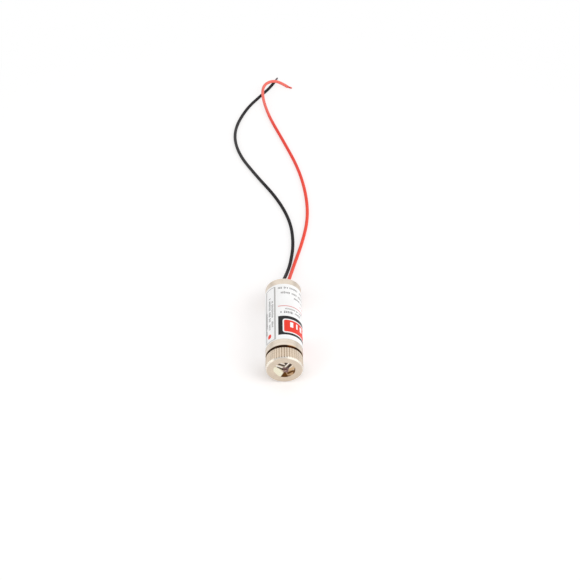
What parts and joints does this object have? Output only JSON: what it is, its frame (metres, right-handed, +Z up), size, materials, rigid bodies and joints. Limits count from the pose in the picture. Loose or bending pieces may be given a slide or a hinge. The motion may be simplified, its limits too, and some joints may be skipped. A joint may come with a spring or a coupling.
{
  "type": "laser diode module",
  "caption": "Slim cylindrical laser diode module with a knurled focus ring, a wrapped label and two loose leads.",
  "frame": {"origin": "on the surface that the module lies on, under the middle of its length", "axes": "+Y along the barrel from the light's exit to the leads, +Z up, +X to the right seen from the front"},
  "size_m": [0.0288, 0.1668, 0.0122],
  "materials": {
    "plated_brass": "pale nickel plate over turned brass",
    "label_film": "printed white film with a satin face",
    "ring_brass": "pale nickel plate, worn warm on the knurl",
    "lens_acrylic": "clear moulded lens with a purple coating",
    "black_rubber": "matt",
    "turned_brass": "turned, bare",
    "spring_steel": "drawn wire",
    "gold_plate": "gold plated",
    "nickel_can": "drawn and nickel plated",
    "window_glass": "clear",
    "submount_ceramic": "ground ceramic",
    "chip_crystal": "cleaved crystal",
    "seal_glass": "fused bead",
    "board_laminate": "green solder mask",
    "black_moulding": "moulded",
    "capacitor_moulding": "moulded",
    "resistor_ceramic": "glazed",
    "solder": "bright solder",
    "tinned_copper": "tinned strands",
    "black_resin": "poured, with a soft gloss",
    "red_insulation": "smooth soft vinyl",
    "black_insulation": "smooth soft vinyl"
  },
  "bodies": {
    "housing": {"barrel": "plated_brass", "label": "label_film", "diode_base": "gold_plate", "diode_cap": "nickel_can", "diode_window": "window_glass", "chip_submount": "submount_ceramic", "laser_chip": "chip_crystal", "diode_pins": "gold_plate", "pin_seals": "seal_glass", "diode_collar": "turned_brass", "driver_board": "board_laminate", "driver_transistor": "black_moulding", "capacitor": "capacitor_moulding", "resistors": "resistor_ceramic", "pin_solder": "solder", "lead_solder": "solder", "lead_cores": "tinned_copper", "rear_seal": "black_resin", "red_lead": "red_insulation", "black_lead": "black_insulation", "red_lead_end": "tinned_copper", "black_lead_end": "tinned_copper"},
    "focus_carriage": {"focus_spring": "spring_steel"},
    "focus_head": {"focus_ring": "ring_brass", "collimating_lens": "lens_acrylic", "lens_washer": "black_rubber", "lens_retainer": "turned_brass"}
  },
  "joints": [
    {"name": "focus_travel", "type": "slide", "parent": "housing", "child": "focus_carriage", "axis": [0, -1, 0], "range_m": [-0.0005, 0.002], "deforming": ["focus_spring"]},
    {"name": "focus_turn", "type": "hinge", "parent": "focus_carriage", "child": "focus_head", "pos_m": [0, -0.01533, 0.00608], "axis": [0, -1, 0], "range_deg": [-361, 1441]}
  ],
  "couplings": [
    {"joint": "focus_turn", "follows": "focus_travel", "rad_per_m": 12566}
  ]
}
